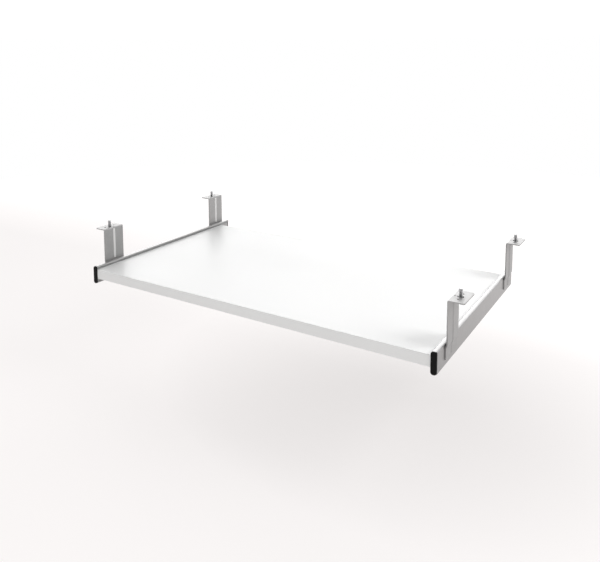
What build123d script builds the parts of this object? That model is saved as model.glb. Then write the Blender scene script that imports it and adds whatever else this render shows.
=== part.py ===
"""Under desk drawer: a pull-out tray on two ball-bearing rails, hung from four brackets.

Millimetres. +X is to the right, +Y to the back, +Z up. The origin is the centre of the four desk
screws, on the plane of the bracket flanges' top faces, which is the underside of the desk.
The right-hand pieces are modelled and the left-hand ones are their mirror images.
"""

import os

from build123d import *

# Tray board
TRAY_WIDTH = 700.0
TRAY_DEPTH = 400.0
TRAY_THICK = 19.0
BAND_THICK = 1.0
BAND_EDGE_RADIUS = 0.6

# Where the tray hangs
DESK_TO_TRAY = 73.0
BRACKET_PITCH = 336.0
TRAY_FRONT_TO_BRACKET = 57.0

# Ball-bearing rail, seen in section: u is measured outwards from the tray's edge, v up from mid height
RAIL_HEIGHT = 35.0
RAIL_DEPTH = 10.0
RAIL_SHEET = 1.4
RAIL_CORNER = 1.75
RAIL_MID_BELOW_TRAY_TOP = 11.5
LIP_START = 0.6
CURL_WIDTH = 1.2
CURL_DROP = 1.2
INNER_RAIL_HEIGHT = 26.0
INNER_RAIL_DEPTH = 7.0
INNER_CORNER = 1.2
OUTER_RAIL_SETBACK = 0.6
OUTER_RAIL_LENGTH = 429.4
INNER_RAIL_LENGTH = 424.6

# Balls and cage
BALL_RADIUS = 1.5
BALL_U = 5.0
BALL_PITCH = 18.0
BALLS_PER_RACE = 5
CAGE_SHEET = 0.8
CAGE_FROM_U = 2.6
CAGE_TO_U = 8.2
CAGE_HEIGHT = 30.0
CAGE_HOLE_RADIUS = 1.6

# Travel and the lugs that end it
TRAY_TRAVEL = 320.0
LUG_LENGTH = 3.0
LUG_FROM_U = 3.5
LUG_TO_U = 6.5
LUG_HEIGHT_OUTER = 2.5
LUG_HEIGHT_INNER = 1.9
LUG_INSET = 4.0
STOP_GAP = 0.3
BUFFER_LENGTH = 4.6

# End cap
CAP_WIDTH = 9.4
CAP_THICK = 2.0
CAP_CHAMFER = 3.2
CAP_PLUG_LENGTH = 12.0
CAP_PLUG_DEPTH = 5.0

# Bracket
BRACKET_WIDTH = 50.0
BRACKET_SHEET = 2.0
FLANGE_REACH = 25.5
SCREW_FROM_LEG = 12.0
FLANGE_CORNER = 3.0
BEND_RADIUS = 2.6
JOGGLE_TOP = 68.5
JOGGLE_BOTTOM = 74.0
FOOT_BOTTOM = 92.5
BEAD_WIDTH = 5.0
BEAD_HEIGHT = 1.0
DESK_SLOT_LENGTH = 10.4
DESK_SLOT_WIDTH = 6.8
PILOT_RADIUS = 2.1
PILOT_OFFSET = 12.0

# Desk screw
SCREW_RADIUS = 3.15
SCREW_NECK_RADIUS = 2.45
SCREW_NECK_TOP = 0.5
SCREW_REACH = 13.0
SCREW_TIP = 1.2
SCREW_HEAD_RADIUS = 6.0
SCREW_HEAD_HEIGHT = 2.6
SCREW_HEAD_EDGE = 1.0
RECESS_WIDTH = 1.2
RECESS_LENGTH = 5.0
RECESS_DEPTH = 1.6

# Rivet
RIVET_RADIUS = 2.0
RIVET_HEAD_RADIUS = 3.2
RIVET_HEAD_HEIGHT = 1.2
RIVET_OFFSET = 15.0

# Screw between inner rail and tray
TRAY_SCREW_RADIUS = 1.75
TRAY_SCREW_LENGTH = 18.0
TRAY_SCREW_HEAD_RADIUS = 3.5
TRAY_SCREW_HEAD_HEIGHT = 2.2
TRAY_SCREW_FROM_FRONT = 37.0
TRAY_SCREW_PITCH = 160.0
TRAY_SCREW_COUNT = 3

# Worked out from the sizes above
TRAY_EDGE_X = TRAY_WIDTH / 2
TRAY_TOP_Z = -DESK_TO_TRAY
TRAY_BOTTOM_Z = TRAY_TOP_Z - TRAY_THICK
TRAY_FRONT_Y = -BRACKET_PITCH / 2 - TRAY_FRONT_TO_BRACKET
TRAY_BACK_Y = TRAY_FRONT_Y + TRAY_DEPTH
RAIL_MID_Z = TRAY_TOP_Z - RAIL_MID_BELOW_TRAY_TOP
RAIL_HALF = RAIL_HEIGHT / 2
RAIL_FACE_X = TRAY_EDGE_X + RAIL_DEPTH
INNER_HALF = INNER_RAIL_HEIGHT / 2
OUTER_FRONT_Y = TRAY_FRONT_Y + OUTER_RAIL_SETBACK
OUTER_BACK_Y = OUTER_FRONT_Y + OUTER_RAIL_LENGTH
INNER_BACK_Y = TRAY_FRONT_Y + INNER_RAIL_LENGTH
RACE_V = RAIL_HALF - RAIL_SHEET
BALL_V = (INNER_HALF + RACE_V) / 2
OUTER_LUG_BACK_Y = OUTER_FRONT_Y + LUG_INSET + LUG_LENGTH
INNER_LUG_FRONT_Y = INNER_BACK_Y - LUG_INSET
CAGE_FRONT_Y = OUTER_LUG_BACK_Y + TRAY_TRAVEL / 2 + STOP_GAP
CAGE_BACK_Y = INNER_LUG_FRONT_Y - TRAY_TRAVEL / 2 - STOP_GAP
LEG_INNER_X = RAIL_FACE_X + BRACKET_SHEET
FLANGE_OUTER_X = LEG_INNER_X + FLANGE_REACH
SCREW_X = LEG_INNER_X + SCREW_FROM_LEG
RIVET_Z = -(JOGGLE_BOTTOM + FOOT_BOTTOM) / 2
TRAY_SCREW_YS = [
    TRAY_FRONT_Y + TRAY_SCREW_FROM_FRONT + i * TRAY_SCREW_PITCH for i in range(TRAY_SCREW_COUNT)
]
BRACKET_YS = {"front": -BRACKET_PITCH / 2, "rear": BRACKET_PITCH / 2}


def block(x0, x1, y0, y1, z0, z1):
    """A box between two corners."""
    size = (x1 - x0, y1 - y0, z1 - z0)
    middle = ((x0 + x1) / 2, (y0 + y1) / 2, (z0 + z1) / 2)
    return Pos(*middle) * Box(*size)


def rail_block(u0, u1, y0, y1, v0, v1):
    """A box in the right rail's section coordinates."""
    return block(TRAY_EDGE_X + u0, TRAY_EDGE_X + u1, y0, y1, RAIL_MID_Z + v0, RAIL_MID_Z + v1)


def rod_x(radius, x0, x1, y, z):
    """A round bar along X."""
    bar = Rot(0, 90, 0) * Cylinder(radius, x1 - x0)
    return Pos((x0 + x1) / 2, y, z) * bar


def rect(u0, u1, v0, v1):
    """A flat rectangle in section coordinates."""
    return Pos((u0 + u1) / 2, (v0 + v1) / 2) * Rectangle(u1 - u0, v1 - v0)


def corners(section, u, v):
    """The section's two corners at (u, v) and (u, -v)."""
    near = 1e-4
    return [p for p in section.vertices() if abs(p.X - u) < near and abs(abs(p.Y) - v) < near]


def run_along_y(section, y0, y1):
    """Extrudes a rail section from y0 to y1."""
    placed = Plane((TRAY_EDGE_X, y0, RAIL_MID_Z), x_dir=(1, 0, 0), z_dir=(0, -1, 0)) * section
    return extrude(placed, amount=y1 - y0, dir=(0, 1, 0))


def edge_band(x0, x1, y0, y1, along, outer_face):
    """A strip of edging with its two long outer edges rounded over."""
    strip = block(x0, x1, y0, y1, TRAY_BOTTOM_Z, TRAY_TOP_Z)
    face_axis, side = outer_face
    face = strip.faces().sort_by(face_axis)[side]
    return fillet(face.edges().filter_by(along), BAND_EDGE_RADIUS)


def tray_screw_holes(side):
    """The three pilot holes in one edge of the tray."""
    depth = TRAY_SCREW_LENGTH
    ends = sorted((side * (TRAY_EDGE_X - depth), side * (TRAY_EDGE_X + RAIL_SHEET)))
    return [rod_x(TRAY_SCREW_RADIUS, ends[0], ends[1], y, RAIL_MID_Z) for y in TRAY_SCREW_YS]


def tray_core():
    core = block(
        -TRAY_EDGE_X + BAND_THICK,
        TRAY_EDGE_X - BAND_THICK,
        TRAY_FRONT_Y + BAND_THICK,
        TRAY_BACK_Y - BAND_THICK,
        TRAY_BOTTOM_Z,
        TRAY_TOP_Z,
    )
    return core - tray_screw_holes(1) - tray_screw_holes(-1)


def side_band():
    x1 = TRAY_EDGE_X
    y0 = TRAY_FRONT_Y + BAND_THICK
    y1 = TRAY_BACK_Y - BAND_THICK
    return edge_band(x1 - BAND_THICK, x1, y0, y1, Axis.Y, (Axis.X, -1)) - tray_screw_holes(1)


def outer_rail():
    """Fixed member: a channel open towards the tray, its lips curled over the ball races."""
    lip_end = LIP_START + CURL_WIDTH
    section = rect(LIP_START, RAIL_DEPTH, -RAIL_HALF, RAIL_HALF)
    section -= rect(-1, RAIL_DEPTH - RAIL_SHEET, -RACE_V, RACE_V)
    section += rect(LIP_START, lip_end, RACE_V - CURL_DROP, RACE_V)
    section += rect(LIP_START, lip_end, -RACE_V, CURL_DROP - RACE_V)
    section = fillet(corners(section, RAIL_DEPTH, RAIL_HALF), RAIL_CORNER)
    section = fillet(corners(section, LIP_START, RAIL_HALF), CURL_WIDTH * 0.8)
    section = fillet(corners(section, RAIL_DEPTH - RAIL_SHEET, RACE_V), RAIL_CORNER / 4)
    rail = run_along_y(section, OUTER_FRONT_Y, OUTER_BACK_Y)
    lug_front = OUTER_LUG_BACK_Y - LUG_LENGTH
    low = RACE_V - LUG_HEIGHT_OUTER
    rail += rail_block(LUG_FROM_U, LUG_TO_U, lug_front, OUTER_LUG_BACK_Y, low, RACE_V)
    rail += rail_block(LUG_FROM_U, LUG_TO_U, lug_front, OUTER_LUG_BACK_Y, -RACE_V, -low)
    for y in BRACKET_YS.values():
        rail -= rivet_shanks(y)
    return rail


def inner_rail():
    """Moving member: a narrower channel screwed to the tray's edge, with the balls above and below."""
    inside = INNER_HALF - RAIL_SHEET
    section = rect(0, INNER_RAIL_DEPTH, -INNER_HALF, INNER_HALF)
    section -= rect(RAIL_SHEET, INNER_RAIL_DEPTH + 1, -inside, inside)
    section = fillet(corners(section, 0, INNER_HALF), INNER_CORNER)
    rail = run_along_y(section, TRAY_FRONT_Y, INNER_BACK_Y)
    top = INNER_HALF + LUG_HEIGHT_INNER
    lug_back = INNER_LUG_FRONT_Y + LUG_LENGTH
    rail += rail_block(LUG_FROM_U, LUG_TO_U, INNER_LUG_FRONT_Y, lug_back, INNER_HALF, top)
    rail += rail_block(LUG_FROM_U, LUG_TO_U, INNER_LUG_FRONT_Y, lug_back, -top, -INNER_HALF)
    return rail - tray_screw_holes(1)


def ball_centres(race):
    """The middle of each ball in the upper (+1) or lower (-1) race."""
    middle = (CAGE_FRONT_Y + CAGE_BACK_Y) / 2
    first = middle - BALL_PITCH * (BALLS_PER_RACE - 1) / 2
    x = TRAY_EDGE_X + BALL_U
    z = RAIL_MID_Z + race * BALL_V
    return [(x, first + i * BALL_PITCH, z) for i in range(BALLS_PER_RACE)]


def ball_cage():
    """The strip that keeps the balls apart, bent over into both races."""
    half = CAGE_HEIGHT / 2
    inside = half - CAGE_SHEET
    section = rect(CAGE_FROM_U, CAGE_TO_U, -half, half)
    section -= rect(0, CAGE_TO_U - CAGE_SHEET, -inside, inside)
    section = fillet(corners(section, CAGE_TO_U, half), CAGE_SHEET)
    cage = run_along_y(section, CAGE_FRONT_Y, CAGE_BACK_Y)
    hole_length = 3 * CAGE_SHEET
    for race in (1, -1):
        cage -= [Pos(*c) * Cylinder(CAGE_HOLE_RADIUS, hole_length) for c in ball_centres(race)]
    return cage


def ball_row(race):
    return Compound(children=[Pos(*c) * Sphere(BALL_RADIUS) for c in ball_centres(race)])


def rear_buffer():
    """Soft block wedged into the outer rail's back end, which the inner rail closes against."""
    y0 = OUTER_BACK_Y - BUFFER_LENGTH
    y1 = OUTER_BACK_Y
    buffer = rail_block(LIP_START + CURL_WIDTH, RAIL_DEPTH - RAIL_SHEET, y0, y1, -RACE_V, RACE_V)
    return chamfer(buffer.edges().filter_by(Axis.Y), RAIL_CORNER / 3)


def end_cap():
    """Plastic cap over the rail's front end, with a plug that fits into the inner rail."""
    section = chamfer(Rectangle(CAP_WIDTH, RAIL_HEIGHT).vertices(), CAP_CHAMFER)
    section = Pos(RAIL_DEPTH / 2, 0) * section
    plate = run_along_y(section, TRAY_FRONT_Y - CAP_THICK, TRAY_FRONT_Y)
    front = plate.faces().sort_by(Axis.Y)[0]
    plate = fillet(front.edges(), CAP_THICK / 3)
    inside = INNER_HALF - RAIL_SHEET
    plug_back = TRAY_FRONT_Y + CAP_PLUG_LENGTH
    plug_end = RAIL_SHEET + CAP_PLUG_DEPTH
    plug = rail_block(RAIL_SHEET, plug_end, TRAY_FRONT_Y, plug_back, -inside, inside)
    return plate + plug


def tray_screws():
    """Pan-head screws, driven from inside the inner rail into the tray's edge."""
    seat = TRAY_EDGE_X + RAIL_SHEET
    screws = []
    for y in TRAY_SCREW_YS:
        shank = rod_x(TRAY_SCREW_RADIUS, TRAY_EDGE_X - TRAY_SCREW_LENGTH, seat, y, RAIL_MID_Z)
        head = rod_x(TRAY_SCREW_HEAD_RADIUS, seat, seat + TRAY_SCREW_HEAD_HEIGHT, y, RAIL_MID_Z)
        outer_rim = head.edges().filter_by(GeomType.CIRCLE).sort_by(Axis.X)[-1]
        screws.append(shank + fillet(outer_rim, TRAY_SCREW_HEAD_HEIGHT * 0.6))
    return Compound(children=screws)


def bracket_section(outwards):
    """The bent sheet seen from the front: flange, leg, joggle and foot. It may be set outwards."""
    t = BRACKET_SHEET
    x_leg = LEG_INNER_X + outwards
    x_foot = RAIL_FACE_X + outwards
    top = outwards
    outline = Polyline(
        (x_leg, top),
        (FLANGE_OUTER_X, top),
        (FLANGE_OUTER_X, top - t),
        (x_leg + t, top - t),
        (x_leg + t, -JOGGLE_TOP),
        (x_foot + t, -JOGGLE_BOTTOM),
        (x_foot + t, -FOOT_BOTTOM),
        (x_foot, -FOOT_BOTTOM),
        (x_foot, -JOGGLE_BOTTOM),
        (x_leg, -JOGGLE_TOP),
        close=True,
    )
    section = make_face(outline)
    bend = [p for p in section.vertices() if abs(p.X - x_leg) < 1e-4 and abs(p.Y - top) < 1e-4]
    inside_bend = [p for p in section.vertices() if abs(p.X - x_leg - t) < 1e-4 and p.Y > -2 * t]
    section = fillet(bend, BEND_RADIUS)
    return fillet(inside_bend, BEND_RADIUS - t)


def bracket_length(section, y0, y1):
    placed = Plane((0, y0, 0), x_dir=(1, 0, 0), z_dir=(0, -1, 0)) * section
    return extrude(placed, amount=y1 - y0, dir=(0, 1, 0))


def rivet_shanks(y_mid):
    """The two rivet shanks through foot and rail, as solids to cut or keep."""
    x0 = RAIL_FACE_X - RAIL_SHEET
    x1 = RAIL_FACE_X + BRACKET_SHEET
    ys = (y_mid - RIVET_OFFSET, y_mid + RIVET_OFFSET)
    return [rod_x(RIVET_RADIUS, x0, x1, y, RIVET_Z) for y in ys]


def rivet_heads(y_mid):
    """Countersunk heads, flush with the foot's outer face."""
    x = RAIL_FACE_X + BRACKET_SHEET - RIVET_HEAD_HEIGHT / 2
    cone = Rot(0, 90, 0) * Cone(RIVET_RADIUS, RIVET_HEAD_RADIUS, RIVET_HEAD_HEIGHT)
    return [Pos(x, y, RIVET_Z) * cone for y in (y_mid - RIVET_OFFSET, y_mid + RIVET_OFFSET)]


def bracket_rivets(y_mid):
    pairs = zip(rivet_shanks(y_mid), rivet_heads(y_mid))
    return Compound(children=[shank + head for shank, head in pairs])


def bracket(y_mid):
    """One bracket, with a pressed rib where its leg and foot are set outwards along the middle."""
    y0 = y_mid - BRACKET_WIDTH / 2
    y1 = y_mid + BRACKET_WIDTH / 2
    sheet = bracket_length(bracket_section(0.0), y0, y1)
    tips = sheet.edges().filter_by(Axis.Z).sort_by(Axis.X)[-2:]
    sheet = fillet(tips, FLANGE_CORNER)
    bead_y0 = y_mid - BEAD_WIDTH / 2
    bead_y1 = y_mid + BEAD_WIDTH / 2
    bead_top = -BEND_RADIUS - BEAD_HEIGHT
    zone = block(RAIL_FACE_X - 1, FLANGE_OUTER_X + 1, bead_y0, bead_y1, -FOOT_BOTTOM - 1, bead_top)
    bead = bracket_length(bracket_section(BEAD_HEIGHT), bead_y0, bead_y1)
    sheet = (sheet - zone) + (bead & zone)
    cut_height = 4 * BRACKET_SHEET
    slot = SlotOverall(DESK_SLOT_LENGTH, DESK_SLOT_WIDTH)
    sheet -= Pos(SCREW_X, y_mid, -cut_height / 2) * extrude(slot, amount=cut_height)
    for y in (y_mid - PILOT_OFFSET, y_mid + PILOT_OFFSET):
        sheet -= Pos(SCREW_X, y, 0) * Cylinder(PILOT_RADIUS, cut_height)
    return sheet - rivet_shanks(y_mid) - rivet_heads(y_mid)


def desk_screw(y_mid):
    """Coarse-thread screw standing up through the flange, its cross-recessed head underneath.

    The thread is drawn as a plain cylinder over its crests. The neck below it passes the flange.
    """
    seat_z = -BRACKET_SHEET
    neck_length = SCREW_NECK_TOP - seat_z
    neck = Pos(0, 0, seat_z + neck_length / 2) * Cylinder(SCREW_NECK_RADIUS, neck_length)
    thread_length = SCREW_REACH - SCREW_NECK_TOP
    thread = Pos(0, 0, SCREW_NECK_TOP + thread_length / 2) * Cylinder(SCREW_RADIUS, thread_length)
    thread = chamfer(thread.edges().sort_by(Axis.Z)[-1], SCREW_TIP)
    head = Pos(0, 0, seat_z - SCREW_HEAD_HEIGHT / 2) * Cylinder(SCREW_HEAD_RADIUS, SCREW_HEAD_HEIGHT)
    head = fillet(head.edges().filter_by(GeomType.CIRCLE).sort_by(Axis.Z)[0], SCREW_HEAD_EDGE)
    recess_z = seat_z - SCREW_HEAD_HEIGHT + RECESS_DEPTH / 2
    for across, along in ((RECESS_WIDTH, RECESS_LENGTH), (RECESS_LENGTH, RECESS_WIDTH)):
        head -= Pos(0, 0, recess_z) * Box(across, along, RECESS_DEPTH)
    return Pos(SCREW_X, y_mid, 0) * (head + neck + thread)


def right_hand_pieces():
    """Every piece that the right side has, by its name without the side."""
    pieces = {
        "SIDE_edge_band": side_band(),
        "SIDE_outer_rail": outer_rail(),
        "SIDE_inner_rail": inner_rail(),
        "SIDE_ball_cage": ball_cage(),
        "SIDE_upper_balls": ball_row(1),
        "SIDE_lower_balls": ball_row(-1),
        "SIDE_rear_buffer": rear_buffer(),
        "SIDE_end_cap": end_cap(),
        "SIDE_tray_screws": tray_screws(),
    }
    for place, y in BRACKET_YS.items():
        pieces[f"{place}_SIDE_bracket"] = bracket(y)
        pieces[f"{place}_SIDE_bracket_rivets"] = bracket_rivets(y)
        pieces[f"{place}_SIDE_desk_screw"] = desk_screw(y)
    return pieces


def all_pieces():
    front = TRAY_FRONT_Y
    back = TRAY_BACK_Y
    edge = TRAY_EDGE_X
    pieces = {
        "tray_core": tray_core(),
        "front_edge_band": edge_band(-edge, edge, front, front + BAND_THICK, Axis.X, (Axis.Y, 0)),
        "rear_edge_band": edge_band(-edge, edge, back - BAND_THICK, back, Axis.X, (Axis.Y, -1)),
    }
    for name, solid in right_hand_pieces().items():
        pieces[name.replace("SIDE", "right")] = solid
        pieces[name.replace("SIDE", "left")] = mirror(solid, about=Plane.YZ)
    return pieces


def main():
    os.makedirs("parts", exist_ok=True)
    for name, solid in all_pieces().items():
        export_step(solid, f"parts/{name}.step")


main()
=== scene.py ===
"""Under desk drawer: its visible pieces, finishes and studio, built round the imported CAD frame.

Metres. +X is to the right, +Y to the back, +Z up. The origin is the centre of the four desk screws,
on the underside of the desk. A rail's section is measured as in the workshop: u outwards from the
tray's edge and v upwards from the rail's mid height.
"""

import math

import bmesh
import bpy
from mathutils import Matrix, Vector


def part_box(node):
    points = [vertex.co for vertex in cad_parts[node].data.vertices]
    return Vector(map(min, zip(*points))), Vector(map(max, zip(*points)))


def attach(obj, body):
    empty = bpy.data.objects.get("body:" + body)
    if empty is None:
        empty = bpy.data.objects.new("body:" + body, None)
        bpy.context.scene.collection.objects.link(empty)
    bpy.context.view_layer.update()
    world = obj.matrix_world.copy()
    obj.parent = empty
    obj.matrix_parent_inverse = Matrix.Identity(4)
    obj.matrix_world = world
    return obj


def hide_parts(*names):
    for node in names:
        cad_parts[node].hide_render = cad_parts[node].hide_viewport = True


bl_info = {
    "name": "Under Desk Drawer",
    "version": (1, 0, 0),
    "blender": (4, 5, 0),
    "location": "View3D > Sidebar > Drawer",
    "description": "Models the visible pieces of an under desk drawer round its CAD frame",
    "category": "Object",
}

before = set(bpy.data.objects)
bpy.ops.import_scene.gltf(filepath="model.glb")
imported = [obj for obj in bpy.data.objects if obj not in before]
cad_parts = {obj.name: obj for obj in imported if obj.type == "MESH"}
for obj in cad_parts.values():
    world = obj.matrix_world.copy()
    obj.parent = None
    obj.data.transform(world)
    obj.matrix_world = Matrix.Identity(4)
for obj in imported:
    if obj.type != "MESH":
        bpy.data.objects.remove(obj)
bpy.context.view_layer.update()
MM = 0.001
SLACK = 0.01 * MM
SIDES = ("left", "right")
BROKEN_ANGLE = math.radians(35.0)
SMOOTH_ANGLE = math.radians(32.0)

RAIL_LOW, RAIL_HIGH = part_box("right_outer_rail")
INNER_LOW, INNER_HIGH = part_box("right_inner_rail")
CAGE_LOW, CAGE_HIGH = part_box("right_ball_cage")
CAP_LOW, CAP_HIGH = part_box("right_end_cap")
BUFFER_LOW, BUFFER_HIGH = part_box("right_rear_buffer")
BRACKET_LOW, BRACKET_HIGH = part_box("front_right_bracket")
SCREW_LOW, SCREW_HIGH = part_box("front_right_desk_screw")
TRAY_SCREWS_LOW, TRAY_SCREWS_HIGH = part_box("right_tray_screws")
RIVETS_LOW, RIVETS_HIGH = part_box("front_right_bracket_rivets")
TRAY_EDGE_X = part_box("right_edge_band")[1].x
RAIL_MID_Z = (RAIL_LOW.z + RAIL_HIGH.z) / 2
BRACKET_MID_Y = (BRACKET_LOW.y + BRACKET_HIGH.y) / 2
BRACKET_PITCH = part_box("rear_right_bracket")[0].y - BRACKET_LOW.y
DESK_SCREW_X = (SCREW_LOW.x + SCREW_HIGH.x) / 2
TRAY_SCREW_RADIUS = (TRAY_SCREWS_HIGH.z - TRAY_SCREWS_LOW.z) / 2
TRAY_SCREW_PITCH = (TRAY_SCREWS_HIGH.y - TRAY_SCREWS_LOW.y - 2 * TRAY_SCREW_RADIUS) / 2
FIRST_TRAY_SCREW_Y = TRAY_SCREWS_LOW.y + TRAY_SCREW_RADIUS


def size(default, name, description, low=0.0):
    """A length that a user may change, in metres."""
    return bpy.props.FloatProperty(
        name=name, description=description, default=default, min=low, unit="LENGTH", precision=5
    )


def tint(default, name, description):
    """A colour that a user may change."""
    return bpy.props.FloatVectorProperty(
        name=name, description=description, default=default, size=3, subtype="COLOR", min=0, max=1
    )


class DrawerSizes(bpy.types.PropertyGroup):
    sheet: size(2.0 * MM, "Bracket sheet", "Thickness of the bracket's steel")
    bend: size(2.6 * MM, "Bracket bend", "Outer radius of the bend between leg and flange")
    corner: size(3.0 * MM, "Flange corner", "Radius of the flange's free corners")
    joggle_top: size(68.5 * MM, "Joggle top", "Depth under the desk where the leg starts to step in")
    joggle_bottom: size(74.0 * MM, "Joggle bottom", "Depth under the desk where the step ends")
    bead_width: size(5.6 * MM, "Rib width", "Width of the pressed rib down the leg")
    bead_height: size(1.2 * MM, "Rib height", "How far the pressed rib stands out")
    # painted highlight: how far behind the rib's middle the lighter line is painted
    highlight_offset: size(1.6 * MM, "Painted highlight offset", "How far behind the rib's middle it is burnished")
    slot_length: size(10.4 * MM, "Slot length", "Length of the slot that the desk screw passes")
    slot_width: size(6.8 * MM, "Slot width", "Width of the slot that the desk screw passes")
    pilot_radius: size(2.1 * MM, "Small hole radius", "Radius of the flange's small holes")
    pilot_offset: size(12.0 * MM, "Small hole offset", "From the desk screw to each small hole")
    deburr: size(0.22 * MM, "Deburred edge", "Width of the broken edge on cut sheet")
    rail_sheet: size(1.4 * MM, "Rail sheet", "Thickness of the roll-formed rails")
    rail_corner: size(2.3 * MM, "Rail corner", "Outer radius of the outer rail's corners")
    lip_corner: size(3.3 * MM, "Lip corner", "Outer radius of the outer rail's curled lips")
    inner_corner: size(1.6 * MM, "Inner rail corner", "Outer radius of the inner rail's corners")
    curl: size(3.9 * MM, "Lip curl", "How far the outer rail's lips turn in over the race")
    groove_depth: size(0.3 * MM, "Race shoulder", "Depth of the rolled line beside the race")
    groove_width: size(0.9 * MM, "Race shoulder width", "Width of the rolled line beside the race")
    groove_inset: size(2.6 * MM, "Race shoulder inset", "From the outer face to the rolled line")
    cage_sheet: size(0.8 * MM, "Cage sheet", "Thickness of the ball cage")
    thread_pitch: size(1.4 * MM, "Thread pitch", "Rise of the desk screw's thread in one turn")
    thread_depth: size(0.32 * MM, "Thread depth", "Height of the desk screw's thread")
    shank_radius: size(3.15 * MM, "Screw radius", "Radius of the desk screw over its thread")
    head_height: size(2.6 * MM, "Head height", "Height of the desk screw's head")
    cap_corner: size(4.0 * MM, "Cap corner", "Radius of the end cap's corners")
    cap_plate: size(2.0 * MM, "Cap plate", "Thickness of the end cap's plate")


class DrawerColours(bpy.types.PropertyGroup):
    board: tint((0.705, 0.705, 0.702), "Board", "White melamine faces")
    edging: tint((0.84, 0.845, 0.84), "Edging", "White edge bands")
    rail: tint((0.345, 0.342, 0.341), "Rails", "Zinc-plated rails")
    bracket: tint((0.39, 0.387, 0.386), "Brackets", "Zinc-plated brackets")
    # painted highlight: a lighter zinc colour painted along the rib, in place of its bright reflection
    painted_rib_highlight: tint((0.78, 0.775, 0.77), "Painted rib highlight", "Zinc rubbed bright by the rib's punch")
    screw: tint((0.42, 0.42, 0.425), "Screws", "Screws and rivets")
    ball: tint((0.72, 0.72, 0.73), "Balls", "Polished steel balls")
    plastic: tint((0.003, 0.003, 0.0033), "End caps", "Black moulded plastic")
    rubber: tint((0.02, 0.02, 0.02), "Buffers", "Black rubber")
    floor: tint((1.0, 0.972, 0.965), "Floor", "Studio floor")


class DrawerStudio(bpy.types.PropertyGroup):
    camera_place: bpy.props.FloatVectorProperty(
        name="Camera", description="Where the camera stands", default=(0.65415, -1.07976, 0.35936),
        subtype="TRANSLATION", unit="LENGTH",
    )
    camera_turn: bpy.props.FloatVectorProperty(
        name="Camera turn", description="Which way the camera looks",
        default=tuple(math.radians(a) for a in (83.643, 0.220, 32.355)), subtype="EULER",
        unit="ROTATION",
    )
    lens: bpy.props.FloatProperty(
        name="Lens", description="Focal length in millimetres", default=38.636, min=10.0
    )
    shift: bpy.props.FloatVectorProperty(
        name="Shift", description="Lens shift that frames the object", default=(0.01625, -0.26),
        size=2,
    )
    floor_drop: size(0.30, "Floor drop", "From the desk's underside down to the studio floor")
    floor_radius: size(2.6, "Floor radius", "Radius of the round studio floor")
    floor_glow: bpy.props.FloatProperty(
        name="Floor glow", description="How strongly the floor is lit from below", default=0.71
    )
    # painted light: the floor's glow is made stronger towards the back
    floor_painted_back_light: bpy.props.FloatProperty(
        name="Floor glow behind", description="How much stronger that is at the back", default=0.4
    )
    # painted shadow: the floor's glow is made weaker under the object, in place of its shadow
    floor_painted_shadow: bpy.props.FloatProperty(
        name="Floor pool", description="How much weaker that is under the object", default=0.2
    )
    side_power: bpy.props.FloatProperty(
        name="Side light", description="Power of the soft box to the right", default=20.0, min=0.0
    )
    front_power: bpy.props.FloatProperty(
        name="Front light", description="Power of the low soft box in front", default=3.0, min=0.0
    )
    sky_bright: bpy.props.FloatProperty(
        name="Backdrop", description="Brightness of the studio behind the object", default=1.0
    )
    sky_dim: bpy.props.FloatProperty(
        name="Room", description="Brightness of the studio behind the camera", default=0.28
    )
    sky_band: bpy.props.FloatProperty(
        name="Light wall", description="Extra brightness of the wall of light above the backdrop",
        default=2.3,
    )


def sizes():
    return bpy.context.scene.drawer_sizes


def colours():
    return bpy.context.scene.drawer_colours


def studio():
    return bpy.context.scene.drawer_studio


# ---------------------------------------------------------------- modelling by hand


def deselect():
    """Leaves edit mode, with nothing selected."""
    if bpy.context.mode != "OBJECT":
        bpy.ops.object.mode_set(mode="OBJECT")
    bpy.ops.object.select_all(action="DESELECT")


def activate(piece):
    deselect()
    piece.select_set(True)
    bpy.context.view_layer.objects.active = piece


def edit(piece):
    activate(piece)
    bpy.ops.object.mode_set(mode="EDIT")


def pick(piece, kind, test):
    """In edit mode, selects just those vertices, edges or faces of the piece that pass the test."""
    bpy.ops.mesh.select_mode(type=kind)
    bpy.ops.mesh.select_all(action="DESELECT")
    mesh = bmesh.from_edit_mesh(piece.data)
    found = 0
    for part in {"VERT": mesh.verts, "EDGE": mesh.edges, "FACE": mesh.faces}[kind]:
        if test(part):
            part.select_set(True)
            found += 1
    bmesh.update_edit_mesh(piece.data)
    if found == 0:
        raise RuntimeError(f"nothing to select on {piece.name}")


def near(a, b):
    return abs(a - b) < SLACK


def edge_at(x, z):
    """A test for the edges that run along Y at (x, z)."""
    return lambda e: all(near(v.co.x, x) and near(v.co.z, z) for v in e.verts)


def cut_across(piece, point, normal):
    """Cuts the whole mesh along a plane, keeping both sides."""
    bpy.ops.mesh.select_all(action="SELECT")
    bpy.ops.mesh.bisect(plane_co=point, plane_no=normal)


def use_modifier(piece, kind, **settings):
    """Adds a modifier with these settings and applies it."""
    activate(piece)
    bpy.ops.object.modifier_add(type=kind)
    modifier = piece.modifiers[-1]
    for name, value in settings.items():
        setattr(modifier, name, value)
    bpy.ops.object.modifier_apply(modifier=modifier.name)


def outward_faces(piece):
    """Merges doubles and points every face out of the solid."""
    edit(piece)
    bpy.ops.mesh.select_all(action="SELECT")
    bpy.ops.mesh.remove_doubles(threshold=1e-6)
    bpy.ops.mesh.normals_make_consistent(inside=False)
    deselect()


def break_edges(piece, width, segments=2):
    """Rounds every sharp edge a little."""
    use_modifier(
        piece, "BEVEL", width=width, segments=segments, limit_method="ANGLE",
        angle_limit=BROKEN_ANGLE, miter_outer="MITER_ARC", use_clamp_overlap=True,
    )


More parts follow.
